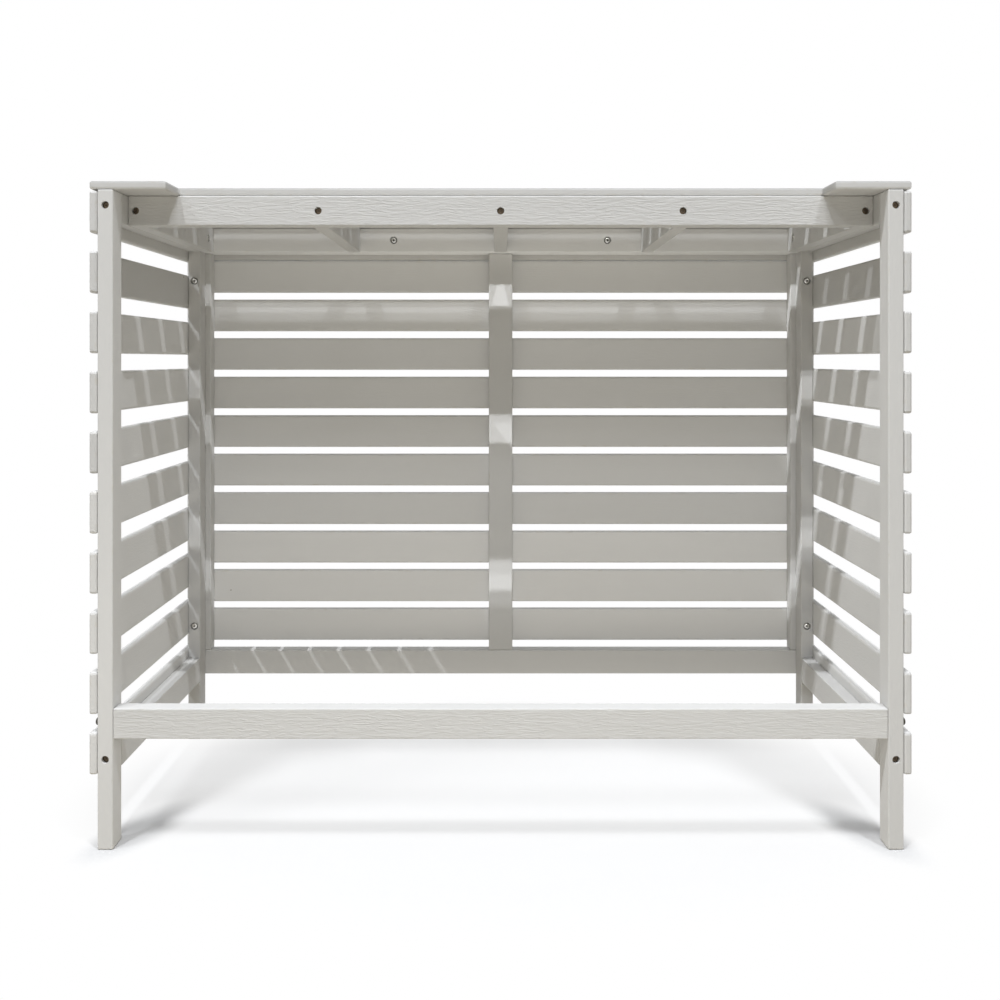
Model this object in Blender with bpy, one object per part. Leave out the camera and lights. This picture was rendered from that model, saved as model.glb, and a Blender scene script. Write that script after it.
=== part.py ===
# Air conditioner screen: a five-sided box of painted wooden slats that is set
# over an outdoor unit, with its open side to the wall.
#
# Metres, +Z up. X is the width, -Y is the open side, +Y is the slatted front,
# and the origin is on the floor under the middle of the screen.

import math

import bmesh
import bpy
from mathutils import Vector


# Overall size
WIDTH = 1.170
DEPTH = 0.434
HEIGHT = 0.950

# Clearance left between two pieces that touch
SEAT_GAP = 0.0003

# Thin boards of the sides, the front and the roof
SLAT_THICKNESS = 0.012
SLAT_EDGE_RADIUS = 0.0034

# Frame timber, one section for rails, joists and front panel posts
TIMBER_WIDTH = 0.044
TIMBER_THICKNESS = 0.022
TIMBER_EDGE_RADIUS = 0.0015

# Side panels
SIDE_POST_DEPTH = 0.030
SIDE_SLAT_COUNT = 10
SIDE_SLAT_GAP = 0.0256
SIDE_FLOOR_CLEARANCE = 0.1056
SIDE_SLAT_TOP_GAP = 0.002

# Front panel
FRONT_POST_COUNT = 3
FRONT_SLAT_COUNT = 10
FRONT_SLAT_GAP = 0.0131
FRONT_FLOOR_CLEARANCE = 0.1095
FRONT_FIRST_GAP = 0.0113
FRONT_TOP_BOARD_HEIGHT = 0.0545
FRONT_TOP_BOARD_GAP = 0.0008

# Roof
ROOF_BOARD_COUNT = 5
ROOF_BOARD_GAP = 0.020
NOTCH_WIDTH = 0.951
NOTCH_STRIP = 0.0178
NOTCH_OVERHANG = 0.002
JOIST_COUNT = 5

# Loose rail across the open side
LOWER_RAIL_HEIGHT = 0.043

# Counterbores for wood screws, and for the bolts that join the panels
SCREW_BORE_RADIUS = 0.0055
SCREW_BORE_DEPTH = 0.010
BOLT_BORE_RADIUS = 0.0068
BOLT_BORE_DEPTH = 0.006
REAR_BOLT_DROP = 0.098
REAR_BOLT_RISE = 0.0535
JOIST_BOLT_MARGIN = 0.030
ROOF_BOLT_BAY_SHARE = 0.73

# Bolts that hold the loose rail
RAIL_BOLT_RADIUS = 0.003
RAIL_BOLT_HEAD_RADIUS = 0.0055
RAIL_BOLT_HEAD_HEIGHT = 0.0055
RAIL_BOLT_CROWN_RADIUS = 0.0040
RAIL_BOLT_GRIP = 0.035
RAIL_BOLT_CLEARANCE = 0.0003

# Facets
EDGE_SEGMENTS = 2
BORE_SIDES = 16
BOLT_SIDES = 16
EDGE_ANGLE = math.radians(30)

# One overrun serves every cut
CUT_OVERRUN = 0.002


# Planes across the width, given for the +X half
half_width = WIDTH / 2
post_outer_x = half_width - SLAT_THICKNESS - SEAT_GAP
post_inner_x = post_outer_x - TIMBER_THICKNESS
roof_frame_x = post_inner_x - SEAT_GAP

# Planes through the depth
open_y = -DEPTH / 2
front_y = DEPTH / 2
front_frame_outer_y = front_y - SLAT_THICKNESS - SEAT_GAP
front_frame_inner_y = front_frame_outer_y - TIMBER_THICKNESS
side_end_y = front_frame_inner_y - SEAT_GAP

# Levels
roof_underside_z = HEIGHT - SLAT_THICKNESS
frame_top_z = roof_underside_z - SEAT_GAP
frame_soffit_z = frame_top_z - TIMBER_WIDTH
side_rail_top_z = SIDE_FLOOR_CLEARANCE + TIMBER_WIDTH
front_rail_top_z = FRONT_FLOOR_CLEARANCE + TIMBER_WIDTH
timber_middle_z = frame_top_z - TIMBER_WIDTH / 2


def clear_scene():
    for thing in list(bpy.data.objects):
        bpy.data.objects.remove(thing, do_unlink=True)


def painted(name, colour, roughness, metallic=0.0):
    material = bpy.data.materials.new(name)
    material.use_nodes = True
    shader = material.node_tree.nodes["Principled BSDF"]
    shader.inputs["Base Color"].default_value = (*colour, 1.0)
    shader.inputs["Roughness"].default_value = roughness
    shader.inputs["Metallic"].default_value = metallic
    material.diffuse_color = (*colour, 1.0)
    return material


def add_object(name, bm, place, material):
    mesh = bpy.data.meshes.new(name)
    bmesh.ops.recalc_face_normals(bm, faces=bm.faces)
    bm.to_mesh(mesh)
    bm.free()
    mesh.materials.append(material)
    piece = bpy.data.objects.new(name, mesh)
    piece.location = place
    bpy.context.collection.objects.link(piece)
    return piece


def soften_edges(piece, radius):
    bevel = piece.modifiers.new("softened edges", "BEVEL")
    bevel.width = radius
    bevel.segments = EDGE_SEGMENTS
    bevel.limit_method = "ANGLE"
    bevel.angle_limit = EDGE_ANGLE
    return piece


# A straight timber or board between three pairs of planes
def timber(name, x_span, y_span, z_span, radius, material):
    low = Vector((x_span[0], y_span[0], z_span[0]))
    high = Vector((x_span[1], y_span[1], z_span[1]))
    bm = bmesh.new()
    bmesh.ops.create_cube(bm, size=1)
    bmesh.ops.scale(bm, vec=high - low, verts=bm.verts)
    piece = add_object(name, bm, (low + high) / 2, material)
    return soften_edges(piece, radius)


# A blind round hole, sunk from a face point along the inward direction
def bore(piece, face_point, inward, radius, depth):
    bm = bmesh.new()
    length = depth + CUT_OVERRUN
    bmesh.ops.create_cone(bm, cap_ends=True, segments=BORE_SIDES, radius1=radius,
                          radius2=radius, depth=length)
    inward = Vector(inward)
    middle = Vector(face_point) + inward * (depth - CUT_OVERRUN) / 2
    cutter = add_object(piece.name + "_cutter", bm, middle, cutter_material)
    cutter.rotation_euler = inward.to_track_quat("Z", "Y").to_euler()
    cutter.hide_render = True
    cutter.display_type = "WIRE"
    cut = piece.modifiers.new("bore", "BOOLEAN")
    cut.operation = "DIFFERENCE"
    cut.solver = "EXACT"
    cut.object = cutter


# Low edges of timbers of one width, spread evenly from end to end of a span
def timber_edges(low, high, width, count):
    pitch = (high - low - width) / (count - 1)
    return [low + pitch * index for index in range(count)]


# Boards that fill a span with one gap between them, so their width follows
def board_spans(low, high, gap, count):
    width = (high - low - gap * (count - 1)) / count
    edges = timber_edges(low, high, width, count)
    return [(edge, edge + width) for edge in edges]


def mirrored(side, low, high):
    return (low, high) if side > 0 else (-high, -low)


side_slat_spans = board_spans(SIDE_FLOOR_CLEARANCE, roof_underside_z - SIDE_SLAT_TOP_GAP,
                              SIDE_SLAT_GAP, SIDE_SLAT_COUNT)


# Side panel: two posts that stand on the floor, two rails and the slats
def side_panel(label, side):
    posts_x = mirrored(side, post_inner_x, post_outer_x)
    slats_x = mirrored(side, half_width - SLAT_THICKNESS, half_width)
    open_post_y = (open_y, open_y + SIDE_POST_DEPTH)
    front_post_y = (side_end_y - SIDE_POST_DEPTH, side_end_y)
    rails_y = (open_post_y[1] + SEAT_GAP, front_post_y[0] - SEAT_GAP)
    post_middle_x = (posts_x[0] + posts_x[1]) / 2

    open_post = timber(label + "_open_post", posts_x, open_post_y, (0, frame_top_z),
                       TIMBER_EDGE_RADIUS, frame_paint)
    front_post = timber(label + "_front_post", posts_x, front_post_y, (0, frame_top_z),
                        TIMBER_EDGE_RADIUS, frame_paint)
    timber(label + "_top_rail", posts_x, rails_y, (frame_soffit_z, frame_top_z),
           TIMBER_EDGE_RADIUS, frame_paint)
    timber(label + "_bottom_rail", posts_x, rails_y, (SIDE_FLOOR_CLEARANCE, side_rail_top_z),
           TIMBER_EDGE_RADIUS, frame_paint)

    # Wood screws run through the open post into the ends of both rails
    side_rail_middle_z = (SIDE_FLOOR_CLEARANCE + side_rail_top_z) / 2
    for level in (timber_middle_z, side_rail_middle_z):
        bore(open_post, (post_middle_x, open_y, level), (0, 1, 0),
             SCREW_BORE_RADIUS, SCREW_BORE_DEPTH)

    # Bolts run through the front post into the front panel
    for level in (roof_underside_z - REAR_BOLT_DROP, front_rail_top_z + REAR_BOLT_RISE):
        bore(front_post, (post_middle_x, front_post_y[0], level), (0, 1, 0),
             BOLT_BORE_RADIUS, BOLT_BORE_DEPTH)

    # The bolt of the loose rail crosses the open post
    bolt_y = open_y + TIMBER_THICKNESS / 2
    bore(open_post, (side * post_outer_x, bolt_y, lower_rail_z), (-side, 0, 0),
         RAIL_BOLT_RADIUS + RAIL_BOLT_CLEARANCE, TIMBER_THICKNESS + CUT_OVERRUN)

    for index, slat_z in enumerate(reversed(side_slat_spans)):
        timber(f"{label}_slat_{index + 1:02d}", slats_x, (open_y, side_end_y), slat_z,
               SLAT_EDGE_RADIUS, slat_paint)


# Front panel: two long rails with three posts between them, and its slats outside
def front_panel():
    frame_y = (front_frame_inner_y, front_frame_outer_y)
    slats_y = (front_y - SLAT_THICKNESS, front_y)
    full_x = (-half_width, half_width)
    posts_z = (front_rail_top_z + SEAT_GAP, frame_soffit_z - SEAT_GAP)

    timber("front_top_rail", full_x, frame_y, (frame_soffit_z, frame_top_z),
           TIMBER_EDGE_RADIUS, frame_paint)
    timber("front_bottom_rail", full_x, frame_y, (FRONT_FLOOR_CLEARANCE, front_rail_top_z),
           TIMBER_EDGE_RADIUS, frame_paint)

    post_edges = timber_edges(-half_width, half_width, TIMBER_WIDTH, FRONT_POST_COUNT)
    for label, edge in zip(("left", "centre", "right"), post_edges):
        timber("front_post_" + label, (edge, edge + TIMBER_WIDTH), frame_y, posts_z,
               TIMBER_EDGE_RADIUS, frame_paint)

    board_z = (roof_underside_z - FRONT_TOP_BOARD_HEIGHT, frame_top_z)
    timber("front_top_board", full_x, slats_y, board_z, SLAT_EDGE_RADIUS, slat_paint)

    slat_spans = board_spans(front_rail_top_z + FRONT_FIRST_GAP,
                             board_z[0] - FRONT_TOP_BOARD_GAP, FRONT_SLAT_GAP, FRONT_SLAT_COUNT)
    for index, slat_z in enumerate(reversed(slat_spans)):
        timber(f"front_slat_{index + 1:02d}", full_x, slats_y, slat_z,
               SLAT_EDGE_RADIUS, slat_paint)


# First roof board, cut back between its ends to let the pipes rise by the wall
def notched_board(notch_y, back_y):
    notch_x = NOTCH_WIDTH / 2
    outline = [(-half_width, open_y), (-notch_x, open_y), (-notch_x, notch_y),
               (notch_x, notch_y), (notch_x, open_y), (half_width, open_y),
               (half_width, back_y), (-half_width, back_y)]
    middle = Vector((0, (open_y + back_y) / 2, roof_underside_z))
    bm = bmesh.new()
    corners = [bm.verts.new(Vector((x, y, roof_underside_z)) - middle) for x, y in outline]
    face = bm.faces.new(corners)
    raised = bmesh.ops.extrude_face_region(bm, geom=[face])
    risers = [item for item in raised["geom"] if isinstance(item, bmesh.types.BMVert)]
    bmesh.ops.translate(bm, vec=(0, 0, SLAT_THICKNESS), verts=risers)
    piece = add_object("roof_notched_board", bm, middle, roof_paint)
    soften_edges(piece, SLAT_EDGE_RADIUS)


# Roof: boards laid across a frame of two rails and the joists
def roof():
    roof_z = (roof_underside_z, HEIGHT)
    boards_y = board_spans(open_y, front_y, ROOF_BOARD_GAP, ROOF_BOARD_COUNT)
    notch_y = boards_y[0][1] - NOTCH_STRIP
    notched_board(notch_y, boards_y[0][1])
    for index, board_y in enumerate(boards_y[1:]):
        timber(f"roof_slat_{index + 1:02d}", (-half_width, half_width), board_y, roof_z,
               SLAT_EDGE_RADIUS, roof_paint)

    rails_x = (-roof_frame_x, roof_frame_x)
    frame_z = (frame_soffit_z, frame_top_z)
    rail_face_y = notch_y - NOTCH_OVERHANG
    open_rail_y = (rail_face_y, rail_face_y + TIMBER_THICKNESS)
    front_rail_y = (side_end_y - TIMBER_THICKNESS, side_end_y)
    joists_y = (open_rail_y[1] + SEAT_GAP, front_rail_y[0] - SEAT_GAP)

    open_rail = timber("roof_open_rail", rails_x, open_rail_y, frame_z,
                       TIMBER_EDGE_RADIUS, frame_paint)
    front_rail = timber("roof_front_rail", rails_x, front_rail_y, frame_z,
                        TIMBER_EDGE_RADIUS, frame_paint)

    joist_edges = timber_edges(rails_x[0], rails_x[1], TIMBER_THICKNESS, JOIST_COUNT)
    for index, edge in enumerate(joist_edges):
        joist = timber(f"roof_joist_{index + 1:02d}", (edge, edge + TIMBER_THICKNESS), joists_y,
                       frame_z, TIMBER_EDGE_RADIUS, frame_paint)
        bore(open_rail, (edge + TIMBER_THICKNESS / 2, rail_face_y, timber_middle_z), (0, 1, 0),
             SCREW_BORE_RADIUS, SCREW_BORE_DEPTH)

        # The two end joists are bolted sideways to the side panels
        if index in (0, JOIST_COUNT - 1):
            outward = -1 if index == 0 else 1
            inner_x = edge + TIMBER_THICKNESS if index == 0 else edge
            for place in (joists_y[0] + JOIST_BOLT_MARGIN, joists_y[1] - JOIST_BOLT_MARGIN):
                bore(joist, (inner_x, place, timber_middle_z), (outward, 0, 0),
                     BOLT_BORE_RADIUS, BOLT_BORE_DEPTH)

    # Two bolts join the roof to the front panel
    bay = joist_edges[1] - joist_edges[0]
    for side in (-1, 1):
        bore(front_rail, (side * bay * ROOF_BOLT_BAY_SHARE, front_rail_y[0], timber_middle_z),
             (0, 1, 0), BOLT_BORE_RADIUS, BOLT_BORE_DEPTH)


# Round-headed bolt, turned about its own Z with the head on top
def rail_bolt(name, side):
    shank = TIMBER_THICKNESS + RAIL_BOLT_GRIP
    seat = SEAT_GAP
    rings = [(-shank, RAIL_BOLT_RADIUS), (seat, RAIL_BOLT_RADIUS), (seat, RAIL_BOLT_HEAD_RADIUS),
             (seat + RAIL_BOLT_HEAD_HEIGHT / 2, RAIL_BOLT_HEAD_RADIUS),
             (seat + RAIL_BOLT_HEAD_HEIGHT, RAIL_BOLT_CROWN_RADIUS)]
    bm = bmesh.new()
    loops = []
    for level, radius in rings:
        closed = level in (rings[0][0], rings[-1][0])
        circle = bmesh.ops.create_circle(bm, cap_ends=closed, segments=BOLT_SIDES, radius=radius)
        bmesh.ops.translate(bm, vec=(0, 0, level), verts=circle["verts"])
        loops.append({edge for vert in circle["verts"] for edge in vert.link_edges})
    for lower, upper in zip(loops, loops[1:]):
        bmesh.ops.bridge_loops(bm, edges=list(lower | upper))
    place = (side * post_outer_x, open_y + TIMBER_THICKNESS / 2, lower_rail_z)
    piece = add_object(name, bm, place, bolt_steel)
    piece.rotation_euler = (0, side * math.pi / 2, 0)
    piece.data.shade_smooth()
    piece.data.set_sharp_from_angle(angle=EDGE_ANGLE)


# The loose rail closes the open side low down, between the two open posts
def lower_rail():
    half_rail = LOWER_RAIL_HEIGHT / 2
    rail_end_x = post_inner_x - SEAT_GAP
    rail = timber("open_side_lower_rail", (-rail_end_x, rail_end_x),
                  (open_y, open_y + TIMBER_THICKNESS),
                  (lower_rail_z - half_rail, lower_rail_z + half_rail),
                  TIMBER_EDGE_RADIUS, frame_paint)
    bolt_tip = RAIL_BOLT_GRIP + RAIL_BOLT_CLEARANCE
    for label, side in (("left", -1), ("right", 1)):
        bore(rail, (side * rail_end_x, open_y + TIMBER_THICKNESS / 2, lower_rail_z), (-side, 0, 0),
             RAIL_BOLT_RADIUS + RAIL_BOLT_CLEARANCE, bolt_tip)
        rail_bolt("lower_rail_bolt_" + label, side)


# The loose rail is level with the gap between the two lowest side slats, so that
# its bolt heads come out between those slats
lower_rail_z = (side_slat_spans[0][1] + side_slat_spans[1][0]) / 2

clear_scene()
frame_paint = painted("frame_paint", (0.62, 0.61, 0.58), 0.55)
slat_paint = painted("slat_paint", (0.63, 0.62, 0.59), 0.50)
roof_paint = painted("roof_paint", (0.64, 0.63, 0.60), 0.50)
bolt_steel = painted("bolt_steel", (0.56, 0.55, 0.52), 0.35, metallic=1.0)
cutter_material = painted("cutter", (0.2, 0.2, 0.2), 0.8)

side_panel("left", -1)
side_panel("right", 1)
front_panel()
roof()
lower_rail()
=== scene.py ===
# %% [markdown]
# # A slatted screen for an outdoor air conditioner
#
# The real object is a five-sided box of softwood boards under off-white paint. It is set over
# the outdoor unit with its open side to the wall, and the photograph looks into that open side.
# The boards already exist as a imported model, in metres, with the floor at zero and the open side
# towards minus Y. This lesson lights it, paints it and adds the fasteners.

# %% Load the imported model
import math

import bmesh
import bpy
from mathutils import Matrix, Vector


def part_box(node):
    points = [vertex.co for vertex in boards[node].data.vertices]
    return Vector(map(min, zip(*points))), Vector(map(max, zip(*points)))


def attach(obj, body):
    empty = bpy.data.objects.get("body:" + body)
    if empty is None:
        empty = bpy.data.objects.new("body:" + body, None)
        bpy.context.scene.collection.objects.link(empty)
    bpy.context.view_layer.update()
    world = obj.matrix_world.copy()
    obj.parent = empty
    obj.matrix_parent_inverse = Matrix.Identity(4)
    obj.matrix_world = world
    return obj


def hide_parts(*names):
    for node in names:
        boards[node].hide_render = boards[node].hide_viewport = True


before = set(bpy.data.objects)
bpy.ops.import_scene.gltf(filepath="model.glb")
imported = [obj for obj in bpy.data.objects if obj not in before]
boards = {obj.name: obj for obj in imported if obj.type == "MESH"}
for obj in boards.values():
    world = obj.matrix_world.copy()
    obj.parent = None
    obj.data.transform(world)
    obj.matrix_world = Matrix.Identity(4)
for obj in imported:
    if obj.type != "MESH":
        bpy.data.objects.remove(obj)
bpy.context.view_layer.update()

# %% [markdown]
# ## Camera
#
# The posts stay upright and parallel in the photograph, so the camera is level and its frame was
# shifted down to take in the feet. A shift does the same here. Tilting the camera would make the
# posts lean together.

# %% The camera
EYE = Vector((0.0, -1.487, 0.696))
bpy.ops.object.select_all(action="DESELECT")
bpy.ops.object.camera_add(location=EYE, rotation=(math.radians(90), 0, 0))
camera = bpy.context.object
camera.name = "camera"
camera.data.sensor_width = 36
camera.data.lens = 32.2
camera.data.shift_x = -0.0006
camera.data.shift_y = -0.1405
camera.data.dof.use_dof = False
bpy.context.scene.camera = camera
print("camera at", tuple(camera.location), "with a lens of", camera.data.lens, "mm")

# %% [markdown]
# ## A helper for node materials
#
# Every finish below is a small tree of shader nodes. In the editor they are dragged out and
# wired by hand. This helper does the same in one line a node: it adds the node, sets what it is
# given, and makes a link wherever the value is another node's output.

# %% Node helper
def new_material(name):
    material = bpy.data.materials.new(name)
    material.use_nodes = True
    tree = material.node_tree
    tree.nodes.clear()
    return material, tree


def add_node(tree, kind, values=None, **settings):
    node = tree.nodes.new(kind)
    for key, value in settings.items():
        setattr(node, key, value)
    for key, value in (values or {}).items():
        if isinstance(value, bpy.types.NodeSocket):
            tree.links.new(value, node.inputs[key])
        else:
            node.inputs[key].default_value = value
    return node


def maths(tree, operation, first, second=0.0, clamp=False):
    node = add_node(tree, "ShaderNodeMath", {0: first, 1: second}, operation=operation)
    node.use_clamp = clamp
    return node.outputs[0]


print("node helpers ready")

# %% [markdown]
# ## Floor
#
# The picture is cut out on white, with only a soft shadow left on the ground. A large pale sheet
# takes that shadow. Rays that come straight from the camera see it lifted towards white, and
# fully white further out, where the picture has no shadow. Beside the two open-side feet it
# isn't lifted at all, so their shadows stay dark where the feet stand, and there the sheet is
# also painted darker: a painted shadow that runs in and back from each foot. All other rays
# meet a plain pale sheet that sends light back up into the boards.

# %% The floor
FLOOR_SIZE = 60.0
SHADOW_SHARE = 0.50
WHITE_FROM = 0.60
WHITE_OVER = 0.30
FOOT_SHADOW = (0.537, -0.169, 0.0)
FOOT_SHADOW_TURN = math.radians(120.7)
FOOT_SHADOW_REACH = (0.130, 0.055, 1.0)

bpy.ops.object.select_all(action="DESELECT")
bpy.ops.mesh.primitive_plane_add(size=FLOOR_SIZE, location=(0, 0, -0.0005))
floor = bpy.context.object
floor.name = "floor"
floor_paper, tree = new_material("floor_paper")
place = add_node(tree, "ShaderNodeTexCoord").outputs["Object"]
flat = add_node(tree, "ShaderNodeMapping", {"Vector": place, "Location": (0, 0.10, 0),
                                            "Scale": (1.25, 2.3, 0)})
reach = add_node(tree, "ShaderNodeVectorMath", {0: flat.outputs[0]}, operation="LENGTH")
edge = add_node(tree, "ShaderNodeMapRange",
                {"Value": reach.outputs["Value"], "From Min": WHITE_FROM,
                 "From Max": WHITE_FROM + WHITE_OVER, "To Min": SHADOW_SHARE, "To Max": 1.0},
                interpolation_type="SMOOTHSTEP")

# One ellipse, turned along the shadow of the right foot, serves both feet by mirroring X
parts = add_node(tree, "ShaderNodeSeparateXYZ", {"Vector": place}).outputs
mirrored = add_node(tree, "ShaderNodeCombineXYZ", {"X": maths(tree, "ABSOLUTE", parts["X"]),
                                                   "Y": parts["Y"]})
by_foot = add_node(tree, "ShaderNodeMapping",
                   {"Vector": mirrored.outputs[0], "Location": FOOT_SHADOW,
                    "Rotation": (0, 0, FOOT_SHADOW_TURN), "Scale": FOOT_SHADOW_REACH},
                   vector_type="TEXTURE")
away = add_node(tree, "ShaderNodeVectorMath", {0: by_foot.outputs[0]}, operation="LENGTH")
clear = add_node(tree, "ShaderNodeMapRange", {"Value": away.outputs["Value"], "From Min": 0.3,
                                              "From Max": 1.0, "To Min": 0.0, "To Max": 1.0},
                 interpolation_type="SMOOTHSTEP").outputs["Result"]

rays = add_node(tree, "ShaderNodeLightPath")
seen = maths(tree, "MAXIMUM", rays.outputs["Is Camera Ray"], rays.outputs["Is Glossy Ray"])
seen = maths(tree, "MAXIMUM", seen, rays.outputs["Is Transmission Ray"])
lift = maths(tree, "MULTIPLY", seen, maths(tree, "MULTIPLY", edge.outputs["Result"], clear))
# Inside the ellipse camera rays see the sheet painted darker, a painted shadow at each foot
sheet = add_node(tree, "ShaderNodeMix", {"Factor": clear, "A": (0.58, 0.58, 0.58, 1),
                                         "B": (0.72, 0.72, 0.72, 1)}, data_type="RGBA")
tone = add_node(tree, "ShaderNodeMix", {"Factor": seen, "A": (0.50, 0.46, 0.38, 1),
                                        "B": sheet.outputs["Result"]}, data_type="RGBA")
surface = add_node(tree, "ShaderNodeBsdfDiffuse", {"Color": tone.outputs["Result"]})
white = add_node(tree, "ShaderNodeEmission", {"Color": (1, 1, 1, 1), "Strength": 1.0})
mixed = add_node(tree, "ShaderNodeMixShader", {0: lift, 1: surface.outputs[0],
                                               2: white.outputs[0]})
add_node(tree, "ShaderNodeOutputMaterial", {"Surface": mixed.outputs[0]})
floor.data.materials.append(floor_paper)
print("floor is", FLOOR_SIZE, "m across")

# %% [markdown]
# ## Light from the room
#
# The room itself sends back a little soft light: most of it comes from behind the screen, less
# from the two sides and from above. Three of these directions are read off the direction that a
# ray leaves in, and their strengths are added. Rays from the camera see plain white instead.

# %% The world
BACK_LIGHT = 0.70
SIDE_LIGHT = 0.12
UPPER_LIGHT = 0.08

world = bpy.data.worlds.new("studio")
bpy.context.scene.world = world
world.use_nodes = True
tree = world.node_tree
tree.nodes.clear()
way = add_node(tree, "ShaderNodeTexCoord").outputs["Generated"]
parts = add_node(tree, "ShaderNodeSeparateXYZ", {"Vector": way}).outputs
behind = maths(tree, "MULTIPLY", maths(tree, "MAXIMUM", parts["Y"], 0.0), BACK_LIGHT)
beside = maths(tree, "MULTIPLY", maths(tree, "ABSOLUTE", parts["X"]), SIDE_LIGHT)
above = maths(tree, "MULTIPLY", maths(tree, "MAXIMUM", parts["Z"], 0.0), UPPER_LIGHT)
level = maths(tree, "ADD", maths(tree, "ADD", behind, beside), above)
soft = add_node(tree, "ShaderNodeBackground", {"Color": (1, 1, 1, 1), "Strength": level})
plain = add_node(tree, "ShaderNodeBackground", {"Color": (1, 1, 1, 1), "Strength": 1.0})
rays = add_node(tree, "ShaderNodeLightPath")
seen = maths(tree, "MAXIMUM", rays.outputs["Is Camera Ray"], rays.outputs["Is Glossy Ray"])
seen = maths(tree, "MAXIMUM", seen, rays.outputs["Is Transmission Ray"])
mixed = add_node(tree, "ShaderNodeMixShader", {0: seen, 1: soft.outputs[0], 2: plain.outputs[0]})
add_node(tree, "ShaderNodeOutputWorld", {"Surface": mixed.outputs[0]})
print("room light", BACK_LIGHT, "behind,", SIDE_LIGHT, "beside and", UPPER_LIGHT, "above")

# %% [markdown]
# ## Lamps
#
# Small lamps hang high in front of the open side, as in a hall. Two of them, left and right of
# the middle, shine steeply through the gaps between the roof boards. They draw the bright bands
# on the posts, the streaks on the side slats and the slanting shadow edges on the rail. A third,
# far out to the left, shines through the gaps of the left side. A softer lamp straight ahead is
# lower, and reaches in under the roof.

# %% The lamps
HIGH_COLOUR = (0.945, 0.965, 1.0)
FILL_COLOUR = (1.0, 0.975, 0.92)
HIGH_LEFT = (-1.95, -2.45, 7.8)
HIGH_RIGHT = (1.95, -2.45, 7.8)
OUTER_LEFT = (-4.96, -2.35, 7.8)
HIGH_WIDTH = 0.045


def add_lamp(name, place, width, power, colour=HIGH_COLOUR):
    bpy.ops.object.light_add(type="AREA", location=place)
    lamp = bpy.context.object
    lamp.name = name
    aim = Vector((0, 0, 0.5)) - Vector(place)
    lamp.rotation_euler = aim.to_track_quat("-Z", "Y").to_euler()
    lamp.data.shape = "DISK"
    lamp.data.size = width
    lamp.data.energy = power
    lamp.data.color = colour
    return lamp


bpy.ops.object.select_all(action="DESELECT")
high_lamps = [add_lamp("high_lamp_left", HIGH_LEFT, HIGH_WIDTH, 315),
              add_lamp("high_lamp_right", HIGH_RIGHT, HIGH_WIDTH, 295),
              add_lamp("outer_lamp_left", OUTER_LEFT, 0.05, 210)]
front_lamp = add_lamp("front_lamp", (0, -3.4, 4.1), 0.9, 52)
print("lamps:", [lamp.name for lamp in high_lamps + [front_lamp]])

# %% [markdown]
# ## Paint on wood
#
# The boards are softwood under a satin off-white paint. Up close the paint still follows the
# grain: fine ridges along the board, a little waviness, and on some faces a deeper embossed
# grain of short wandering ripples. The colour isn't flat either. It drifts a little from board
# to board, it is a shade warmer where paint is thin along the arrises, and a little duller in
# patches. One recipe makes all of this, and it is poured three times, with the grain along X, Y
# or Z. The pattern reads Object coordinates, which here are metres, so its scale is true.

# %% Paint recipe
PAINT = (0.640, 0.638, 0.628)
THIN_PAINT = (0.560, 0.530, 0.470)


def grain_coordinates(tree, place, along, share):
    # Stretch the pattern along the board: few changes a metre that way, many across
    shrink = [1.0, 1.0, 1.0]
    shrink["XYZ".index(along)] = share
    return add_node(tree, "ShaderNodeMapping", {"Vector": place, "Scale": shrink}).outputs[0]


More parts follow.
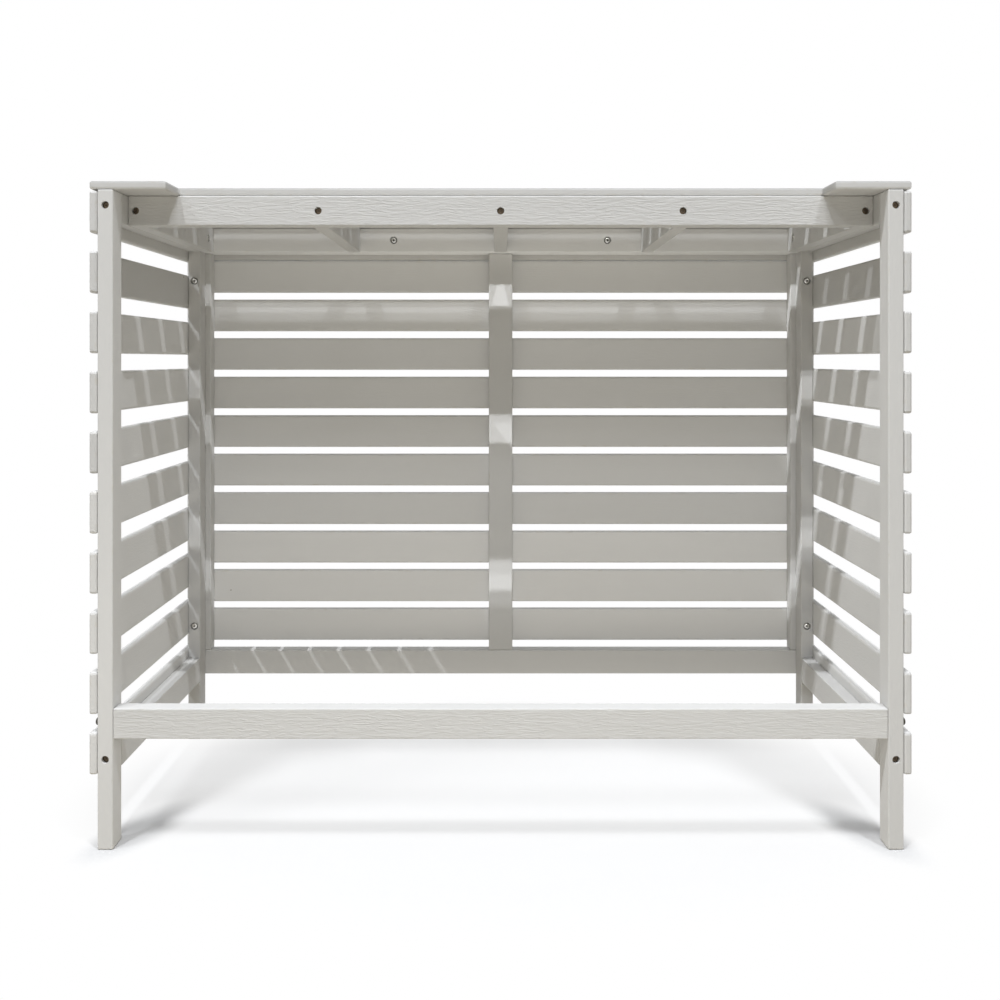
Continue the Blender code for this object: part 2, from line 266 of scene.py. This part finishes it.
def paint(name, along, emboss, tint=1.0):
    material, tree = new_material(name)
    place = add_node(tree, "ShaderNodeTexCoord").outputs["Object"]
    bend = add_node(tree, "ShaderNodeTexNoise", {"Vector": place, "Scale": 14.0, "Detail": 2.0})
    shifted = add_node(tree, "ShaderNodeVectorMath",
                       {0: bend.outputs["Color"], 1: (0.5, 0.5, 0.5)}, operation="SUBTRACT")
    nudge = add_node(tree, "ShaderNodeVectorMath", {0: shifted.outputs[0], "Scale": 0.012},
                     operation="SCALE")
    bent = add_node(tree, "ShaderNodeVectorMath", {0: place, 1: nudge.outputs[0]},
                    operation="ADD").outputs[0]
    grain = grain_coordinates(tree, bent, along, 0.075)
    short_grain = grain_coordinates(tree, bent, along, 0.13)

    # Fine brush and grain lines
    lines = add_node(tree, "ShaderNodeTexNoise", {"Vector": grain, "Scale": 900.0,
                                                  "Detail": 3.0, "Roughness": 0.6})
    # Embossed ripples, short and wandering
    ripple = add_node(tree, "ShaderNodeTexNoise", {"Vector": short_grain, "Scale": 380.0,
                                                   "Detail": 2.0, "Roughness": 0.55,
                                                   "Distortion": 0.4})
    where = add_node(tree, "ShaderNodeTexNoise", {"Vector": place, "Scale": 9.0, "Detail": 1.0})
    patch = add_node(tree, "ShaderNodeMapRange", {"Value": where.outputs["Fac"],
                                                  "From Min": 0.38, "From Max": 0.60,
                                                  "To Min": 0.65, "To Max": 1.0})
    ridges = add_node(tree, "ShaderNodeMapRange", {"Value": ripple.outputs["Fac"],
                                                   "From Min": 0.42, "From Max": 0.60,
                                                   "To Min": 0.0, "To Max": 1.0},
                      interpolation_type="SMOOTHSTEP")
    deep = maths(tree, "MULTIPLY", ridges.outputs["Result"], patch.outputs["Result"])
    deep = maths(tree, "MULTIPLY", deep, emboss)
    orange = add_node(tree, "ShaderNodeTexNoise", {"Vector": place, "Scale": 260.0, "Detail": 1.0})
    height = maths(tree, "ADD", deep, maths(tree, "MULTIPLY", lines.outputs["Fac"], 0.16))
    height = maths(tree, "ADD", height, maths(tree, "MULTIPLY", orange.outputs["Fac"], 0.05))
    bump = add_node(tree, "ShaderNodeBump", {"Height": height, "Strength": 0.55,
                                             "Distance": 0.0012})

    # Tone: slow drift along each board, and the valleys a little darker
    drift = add_node(tree, "ShaderNodeTexNoise", {"Vector": grain_coordinates(tree, place, along, 0.075),
                                                  "Scale": 22.0, "Detail": 2.0})
    cloud = add_node(tree, "ShaderNodeTexNoise", {"Vector": place, "Scale": 5.0, "Detail": 3.0})
    shade = maths(tree, "ADD", maths(tree, "MULTIPLY", drift.outputs["Fac"], 0.07),
                  maths(tree, "MULTIPLY", cloud.outputs["Fac"], 0.05))
    shade = maths(tree, "ADD", shade, maths(tree, "MULTIPLY", deep, 0.05))
    shade = maths(tree, "ADD", shade, 0.925 * tint - 0.01)
    full = add_node(tree, "ShaderNodeVectorMath", {0: PAINT, "Scale": shade}, operation="SCALE")

    # Thin paint on the rounded arrises: their normal points along no axis
    normal = add_node(tree, "ShaderNodeNewGeometry").outputs["True Normal"]
    size = add_node(tree, "ShaderNodeVectorMath", {0: normal}, operation="ABSOLUTE")
    axes = add_node(tree, "ShaderNodeSeparateXYZ", {"Vector": size.outputs[0]})
    most = maths(tree, "MAXIMUM", maths(tree, "MAXIMUM", axes.outputs[0], axes.outputs[1]),
                 axes.outputs[2])
    arris = maths(tree, "LESS_THAN", most, 0.97)
    spots = add_node(tree, "ShaderNodeTexNoise", {"Vector": place, "Scale": 70.0, "Detail": 4.0})
    spots = add_node(tree, "ShaderNodeMapRange", {"Value": spots.outputs["Fac"],
                                                  "From Min": 0.55, "From Max": 0.75,
                                                  "To Min": 0.0, "To Max": 0.55})
    worn = maths(tree, "MULTIPLY", arris, spots.outputs["Result"])
    colour = add_node(tree, "ShaderNodeMix", {"Factor": worn, "A": full.outputs[0],
                                              "B": (*THIN_PAINT, 1)}, data_type="RGBA")

    gloss = add_node(tree, "ShaderNodeMapRange", {"Value": cloud.outputs["Fac"],
                                                  "From Min": 0.3, "From Max": 0.7,
                                                  "To Min": 0.42, "To Max": 0.58})
    shader = add_node(tree, "ShaderNodeBsdfPrincipled",
                      {"Base Color": colour.outputs["Result"], "Roughness": gloss.outputs[0],
                       "Specular IOR Level": 0.45, "Normal": bump.outputs[0]})
    add_node(tree, "ShaderNodeOutputMaterial", {"Surface": shader.outputs[0]})
    return material


plain_paint = {axis: paint("paint_plain_" + axis.lower(), axis, 0.10) for axis in "XYZ"}
embossed_paint = paint("paint_embossed_x", "X", 0.29, tint=1.02)
print("paints:", sorted(m.name for m in bpy.data.materials if m.name.startswith("paint")))

# %% [markdown]
# ## Which board gets which paint
#
# A board's grain always runs along its length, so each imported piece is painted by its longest
# side. Three pieces show the embossed face to the camera: the rail with the screws, the loose
# rail low down, and the second slat of the front.

# %% Paint the boards
EMBOSSED = ("roof_open_rail", "open_side_lower_rail", "front_slat_02")


def longest_axis(name):
    low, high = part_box(name)
    size = high - low
    return "XYZ"[max(range(3), key=lambda axis: size[axis])]


for name, board in boards.items():
    if name.startswith("lower_rail_bolt"):
        continue
    finish = embossed_paint if name in EMBOSSED else plain_paint[longest_axis(name)]
    for slot in board.material_slots:
        slot.material = finish
print("painted", len(boards) - 2, "boards,", len(EMBOSSED), "of them embossed")

# %% [markdown]
# ## Zinc and bronze
#
# The bolts are bright zinc-plated steel, with fine turning marks and a slightly cloudy plate.
# Their washers and the walls and bottoms of their sockets are painted near-black: painted shade under the
# head and down in the socket.
# The wood screws are bronze, painted darker as painted shade, because they sit in the bottom of their
# holes.

# %% Metal recipe
def plated_metal(name, light, dark, rough):
    material, tree = new_material(name)
    place = add_node(tree, "ShaderNodeTexCoord").outputs["Object"]
    cloud = add_node(tree, "ShaderNodeTexNoise", {"Vector": place, "Scale": 420.0, "Detail": 4.0})
    marks = add_node(tree, "ShaderNodeTexNoise", {"Vector": place, "Scale": 2600.0, "Detail": 1.0})
    colour = add_node(tree, "ShaderNodeMix", {"Factor": cloud.outputs["Fac"], "A": (*light, 1),
                                              "B": (*dark, 1)}, data_type="RGBA")
    gloss = add_node(tree, "ShaderNodeMapRange", {"Value": cloud.outputs["Fac"],
                                                  "To Min": rough - 0.08, "To Max": rough + 0.12})
    bump = add_node(tree, "ShaderNodeBump", {"Height": marks.outputs["Fac"], "Strength": 0.12,
                                             "Distance": 0.0002})
    shader = add_node(tree, "ShaderNodeBsdfPrincipled",
                      {"Base Color": colour.outputs["Result"], "Roughness": gloss.outputs[0],
                       "Metallic": 1.0, "Normal": bump.outputs[0]})
    add_node(tree, "ShaderNodeOutputMaterial", {"Surface": shader.outputs[0]})
    return material


bright_zinc = plated_metal("bright_zinc", (0.96, 0.95, 0.91), (0.78, 0.76, 0.70), 0.24)
# Near-black steel: the dull finish of the loose rail's bolt heads, and painted shade on the panel bolts'
# washers and in their sockets
dull_steel = plated_metal("dull_steel", (0.13, 0.12, 0.10), (0.06, 0.055, 0.05), 0.48)
# Bronze darkened as painted shade for the screws at the bottom of their holes; the pins take it too
dark_bronze = plated_metal("dark_bronze", (0.17, 0.13, 0.09), (0.07, 0.055, 0.04), 0.40)
print("metals:", bright_zinc.name, dull_steel.name, dark_bronze.name)

# %% [markdown]
# ## How the fasteners are modelled
#
# A screw head is a turned disc with a cross-shaped socket. The disc starts as a cylinder, whose
# lower face is drawn in and down to make the cone and the shank, and whose upper rim is bevelled.
# The socket is cut with two crossed wedges. One fastener of each kind is modelled standing at
# the origin, and then copied, turned and moved to its hole, with its place in its mesh.

# %% Modelling helpers
def only(piece):
    bpy.ops.object.select_all(action="DESELECT")
    piece.select_set(True)
    bpy.context.view_layer.objects.active = piece


def pick_faces(piece, facing):
    mesh = bmesh.from_edit_mesh(piece.data)
    for face in mesh.faces:
        face.select_set(face.normal.dot(facing) > 0.99)
    mesh.select_flush_mode()
    bmesh.update_edit_mesh(piece.data)


def pick_rim(piece, height):
    mesh = bmesh.from_edit_mesh(piece.data)
    mesh.select_mode = {"EDGE"}
    for edge in mesh.edges:
        edge.select_set(all(abs(vert.co.z - height) < 1e-6 for vert in edge.verts))
    mesh.select_flush_mode()
    bmesh.update_edit_mesh(piece.data)


def turned_head(name, radius, thickness, rim, segments, below):
    # A disc with its top at height zero, and steps (radius, depth) below it
    bpy.ops.object.select_all(action="DESELECT")
    bpy.ops.mesh.primitive_cylinder_add(vertices=24, radius=radius, depth=thickness,
                                        location=(0, 0, -thickness / 2))
    head = bpy.context.object
    head.name = name
    bpy.ops.object.transform_apply(location=True, rotation=True, scale=True)
    bpy.ops.object.mode_set(mode="EDIT")
    bpy.ops.mesh.select_mode(type="FACE")
    bpy.ops.mesh.select_all(action="DESELECT")
    pick_faces(head, Vector((0, 0, -1)))
    last = radius
    for wide, drop in below:
        bpy.ops.mesh.extrude_region_move(TRANSFORM_OT_translate={"value": (0, 0, -drop)})
        bpy.ops.transform.resize(value=(wide / last, wide / last, 1))
        last = wide
    bpy.ops.mesh.select_mode(type="EDGE")
    bpy.ops.mesh.select_all(action="DESELECT")
    pick_rim(head, 0.0)
    bpy.ops.mesh.bevel(offset=rim, segments=segments, affect="EDGES")
    bpy.ops.object.mode_set(mode="OBJECT")
    return head


def cut_socket(head, across, width, depth):
    # Two crossed wedges, narrower at the bottom than at the top
    for number in range(2):
        bpy.ops.object.select_all(action="DESELECT")
        bpy.ops.mesh.primitive_cube_add(size=1, location=(0, 0, 0))
        wedge = bpy.context.object
        size = (across, width, 2 * depth) if number == 0 else (width, across, 2 * depth)
        bpy.ops.transform.resize(value=size)
        bpy.ops.object.transform_apply(location=True, rotation=True, scale=True)
        bpy.ops.object.mode_set(mode="EDIT")
        bpy.ops.mesh.select_mode(type="FACE")
        bpy.ops.mesh.select_all(action="DESELECT")
        pick_faces(wedge, Vector((0, 0, -1)))
        bpy.ops.transform.resize(value=(0.55, 0.55, 1))
        bpy.ops.object.mode_set(mode="OBJECT")
        only(head)
        cut = head.modifiers.new("socket", "BOOLEAN")
        cut.operation = "DIFFERENCE"
        cut.solver = "EXACT"
        cut.object = wedge
        bpy.ops.object.modifier_apply(modifier=cut.name)
        bpy.data.objects.remove(wedge, do_unlink=True)


def paint_shade_on_washer_and_socket(head, below, within):
    # The washer under the head, and the socket's walls, get the dull steel: painted shade in the ring round
    # the head and in the socket
    head.data.materials.append(dull_steel)
    for face in head.data.polygons:
        centre = face.center
        radius = math.hypot(centre.x, centre.y)
        in_socket = radius < within and abs(face.normal.z) < 0.8 or radius < within and (
            centre.z < -0.0010)
        if centre.z < below or in_socket:
            face.material_index = 1


def place_copy(master, name, seat, facing, turn):
    # The head's axis is +Z on the master, and `facing` on the copy
    piece = master.copy()
    piece.data = master.data.copy()
    piece.name = name
    bpy.context.collection.objects.link(piece)
    turned = Vector(facing).to_track_quat("Z", "Y").to_matrix().to_4x4()
    piece.data.transform(Matrix.Translation(seat) @ turned @ Matrix.Rotation(turn, 4, "Z"))
    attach(piece, "root")
    return piece


print("fastener helpers ready")

# %% The wood screw
wood_screw = turned_head("wood_screw", 0.0052, 0.0010, 0.0004, 2,
                         [(0.0021, 0.0020), (0.0020, 0.0023)])
cut_socket(wood_screw, 0.0055, 0.0012, 0.0016)
only(wood_screw)
bpy.ops.object.shade_smooth_by_angle(angle=math.radians(35))
wood_screw.data.materials.append(dark_bronze)
print("wood screw has", len(wood_screw.data.polygons), "faces")

# %% The panel bolt, a domed head on a washer
panel_bolt = turned_head("panel_bolt", 0.0051, 0.0030, 0.0020, 5,
                         [(0.0052, 0.0001), (0.0058, 0.0002), (0.0058, 0.0022)])
cut_socket(panel_bolt, 0.0058, 0.0017, 0.0022)
only(panel_bolt)
bpy.ops.object.shade_smooth_by_angle(angle=math.radians(35))
panel_bolt.data.materials.append(bright_zinc)
paint_shade_on_washer_and_socket(panel_bolt, -0.0029, 0.0031)
print("panel bolt has", len(panel_bolt.data.polygons), "faces")

# %% [markdown]
# ## Fasteners in their holes
#
# Nine wood screws hold the roof's rail to the joists and the open posts to the side rails. Ten
# bolts join the panels: four from the side panels into the front, two from the roof into the
# front and four from the end joists into the side panels. The holes are already in the packed
# boards, so each place is worked out from the board's own box.

# %% Places of the screws
def middle(name, axis):
    low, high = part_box(name)
    return (low[axis] + high[axis]) / 2


SCREW_DEPTH = 0.0045
rail_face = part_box("roof_open_rail")[0].y
roof_level = middle("roof_open_rail", 2)
screw_seats = [Vector((middle(f"roof_joist_{number:02d}", 0), rail_face, roof_level))
               for number in range(1, 6)]
for side in ("left", "right"):
    post_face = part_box(side + "_open_post")[0].y
    for rail in ("top_rail", "bottom_rail"):
        screw_seats.append(Vector((middle(side + "_open_post", 0), post_face,
                                   middle(side + "_" + rail, 2))))
for number, seat in enumerate(screw_seats):
    place_copy(wood_screw, f"wood_screw_{number + 1:02d}", seat + Vector((0, SCREW_DEPTH, 0)),
               (0, -1, 0), 0.7 * number)
bpy.data.objects.remove(wood_screw, do_unlink=True)
print(len(screw_seats), "wood screws")

# %% Places of the bolts
BOLT_DEPTH = 0.0004
towards_camera = (0, -1, 0)
bolt_seats = []
for side in ("left", "right"):
    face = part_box(side + "_front_post")[0].y
    for level in (0.840, 0.207):
        bolt_seats.append((Vector((middle(side + "_front_post", 0), face, level)), towards_camera))
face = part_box("roof_front_rail")[0].y
for x in (-0.1969, 0.1969):
    bolt_seats.append((Vector((x, face, roof_level)), towards_camera))
for name, inward in (("roof_joist_01", 1), ("roof_joist_05", -1)):
    low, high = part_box(name)
    face = high.x if inward > 0 else low.x
    for y in (low.y + 0.030, high.y - 0.030):
        bolt_seats.append((Vector((face, y, roof_level)), (inward, 0, 0)))
for number, (seat, facing) in enumerate(bolt_seats):
    place_copy(panel_bolt, f"panel_bolt_{number + 1:02d}", seat - Vector(facing) * BOLT_DEPTH,
               facing, 0.35 + 1.1 * number)
bpy.data.objects.remove(panel_bolt, do_unlink=True)
print(len(bolt_seats), "panel bolts")

# %% [markdown]
# ## The loose rail's two bolts and the pins
#
# The loose rail is held from outside by a domed bolt at each end, whose dull head shows past the
# post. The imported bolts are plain, so each gets a modelled one with a cross socket in its place,
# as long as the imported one. Two
# of the pins that hold the slats have left a small dark dimple on the inner side.

# %% The loose rail's bolts
RAIL_BOLT_HEAD = 0.0055
RAIL_BOLT_SHANK = 0.0030

for side, outward in (("left", -1), ("right", 1)):
    low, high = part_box("lower_rail_bolt_" + side)
    length = high.x - low.x
    radius = (high.z - low.z) / 2
    seat = (low + high) / 2 + Vector((outward * length / 2, 0, 0))
    rail_bolt = turned_head("rail_bolt", radius, RAIL_BOLT_HEAD, 0.0028, 5,
                            [(RAIL_BOLT_SHANK, 0.0), (RAIL_BOLT_SHANK, length - RAIL_BOLT_HEAD)])
    cut_socket(rail_bolt, radius, 0.0013, 0.0022)
    only(rail_bolt)
    bpy.ops.object.shade_smooth_by_angle(angle=math.radians(35))
    rail_bolt.data.materials.append(dull_steel)
    piece = place_copy(rail_bolt, "rail_bolt_" + side, seat, (outward, 0, 0), 0.5)
    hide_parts("lower_rail_bolt_" + side)
    bpy.data.objects.remove(rail_bolt, do_unlink=True)
    print(piece.name, "is", round(length, 4), "m long, its head", round(2 * radius, 4), "m across")

# %% The pins
PIN_PROUD = 0.0004
slat_pin = turned_head("slat_pin", 0.0010, 0.0004, 0.00015, 2, [(0.0008, 0.0001)])
only(slat_pin)
bpy.ops.object.shade_smooth_by_angle(angle=math.radians(35))
# The pins take the same darkened bronze, so each shows as a small dark mark
slat_pin.data.materials.append(dark_bronze)
pin_seats = [(Vector((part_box("left_slat_02")[1].x, 0.130, 0.845)), Vector((1, 0, 0))),
             (Vector((-0.510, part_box("front_slat_09")[0].y, 0.260)), Vector((0, -1, 0)))]
for number, (seat, facing) in enumerate(pin_seats):
    place_copy(slat_pin, f"slat_pin_{number + 1:02d}", seat + facing * PIN_PROUD, facing, 0.0)
bpy.data.objects.remove(slat_pin, do_unlink=True)
print(len(pin_seats), "pins")

# %% [markdown]
# ## Lamps that light only some pieces
#
# In the photograph the posts carry bright bands, and yet the far slats beside them are evenly
# lit, and the shadows on the ground are soft. A photographer gets this with flags that keep a
# lamp off some parts, and with more lamps that are turned on them alone. Light linking does
# both: a lamp with a receiver collection lights only the objects in it. The roof boards have
# their own lamp as well, because the steep ones would burn their tops out to white. This comes
# last, because the fasteners have to be in the collections too.

# %% Light linking
BANDED_SLAT = "front_slat_02"
DARK_BOARD = "front_top_board"
FAR_FRAME = ("front_post_left", "front_post_centre", "front_post_right", "front_bottom_rail",
             "left_front_post", "right_front_post")
LOW_BOARDS = ("front_slat_08", "front_slat_09", "front_slat_10", "front_bottom_rail",
              "left_bottom_rail", "right_bottom_rail", "open_side_lower_rail")


def light_only(title, members, lamps):
    group = bpy.data.collections.new(title)
    for member in members:
        group.objects.link(member)
    for entry in group.collection_objects:
        entry.light_linking.link_state = "INCLUDE"
    for lamp in lamps:
        lamp.light_linking.receiver_collection = group


far_slats = [boards[name] for name in boards if name.startswith("front_slat_")]
even_boards = far_slats + [boards["roof_front_rail"]]
dark_board = boards[DARK_BOARD]
solid = [item for item in bpy.data.objects if item.type == "MESH" and item not in (floor, dark_board)]
roof_boards = [boards[name] for name in boards if name.startswith(("roof_notched", "roof_slat"))]
light_only("under_high_lamps",
           [item for item in solid if item not in even_boards + roof_boards], high_lamps)
light_only("roof_boards_alone", roof_boards, [add_lamp("roof_lamp", (0, -5.0, 5.9), 0.9, 265)])
light_only("under_front_lamp", solid + [floor], [front_lamp])
light_only("even_boards_alone", even_boards, [add_lamp("slat_lamp", (0, -2.6, 0.25), 1.2, 13, FILL_COLOUR)])
light_only("banded_slat_alone", [boards[BANDED_SLAT]],
           [add_lamp("slat_band_left", (-1.95, -2.90, 7.8), 0.15, 115),
            add_lamp("slat_band_right", (1.95, -2.90, 7.8), 0.15, 115),
            add_lamp("slat_glow_left", (-1.95, -3.20, 7.8), 0.15, 115),
            add_lamp("slat_glow_right", (1.95, -3.20, 7.8), 0.15, 115)])
light_only("far_frame_alone", [boards[name] for name in FAR_FRAME],
           [add_lamp("far_band_left", HIGH_LEFT, HIGH_WIDTH, 120),
            add_lamp("far_band_right", HIGH_RIGHT, HIGH_WIDTH, 120),
            add_lamp("far_band_outer", OUTER_LEFT, 0.05, 260)])
soft_pair = [add_lamp("floor_soft_left", HIGH_LEFT, 0.7, 190),
             add_lamp("floor_soft_right", HIGH_RIGHT, 0.7, 190)]
light_only("floor_alone", [floor],
           soft_pair + [add_lamp("floor_lamp_left", HIGH_LEFT, 0.7, 130),
                        add_lamp("floor_lamp_right", HIGH_RIGHT, 0.7, 110),
                        add_lamp("floor_lamp_outer", OUTER_LEFT, 1.6, 200)])
casters = bpy.data.collections.new("all_but_the_loose_rail")
for item in solid + [dark_board]:
    if item != boards["open_side_lower_rail"]:
        casters.objects.link(item)
for entry in casters.collection_objects:
    entry.light_linking.link_state = "INCLUDE"
for lamp in soft_pair:
    lamp.light_linking.blocker_collection = casters

# The undersides of the two far top rails catch light that the ground sends straight up
ground_lamp = add_lamp("ground_lamp", (0, 0, 0.02), 0.6, 3.0, FILL_COLOUR)
ground_lamp.visible_camera = False
light_only("far_top_rails_alone", [boards["roof_front_rail"], boards["front_top_rail"]],
           [ground_lamp])

# %% [markdown]
# ## Light from the pale ground
#
# The feet and the lowest boards are a little brighter than the rest, as when a pale ground just
# in front of the screen throws light back. A soft low lamp does this for the boards inside, and
# a small one beside each foot does it for the posts, stronger near the ground than higher up.
# A last pair reaches across the screen: each lamp lifts the inner side of the opposite panel.

# %% Low lamps
light_only("low_boards_alone", [boards[name] for name in LOW_BOARDS],
           [add_lamp("low_lamp", (0, -1.75, 0.32), 0.5, 3.8, FILL_COLOUR)])
light_only("far_posts_alone", [boards[name] for name in FAR_FRAME[:4]],
           [add_lamp("post_lamp", (0, -0.95, 0.22), 0.12, 0.8, FILL_COLOUR)])
for side, x, power in (("left", -0.75, 0.9), ("right", 0.75, 0.4)):
    names = [side + "_open_post"] + [f"{side}_slat_{number:02d}" for number in range(6, 11)]
    light_only(side + "_foot_alone", [boards[name] for name in names],
               [add_lamp("foot_lamp_" + side, (x, -0.90, 0.10), 0.15, power, FILL_COLOUR)])

for side, x in (("left", 2.5), ("right", -2.5)):
    names = [side + "_open_post"] + [f"{side}_slat_{number:02d}" for number in range(3, 11)]
    light_only(side + "_panel_alone", [boards[name] for name in names],
               [add_lamp("cross_lamp_" + side, (x, -1.20, 0.90), 0.8, 13, FILL_COLOUR)])

# %% View settings
bpy.context.scene.view_settings.view_transform = "Standard"
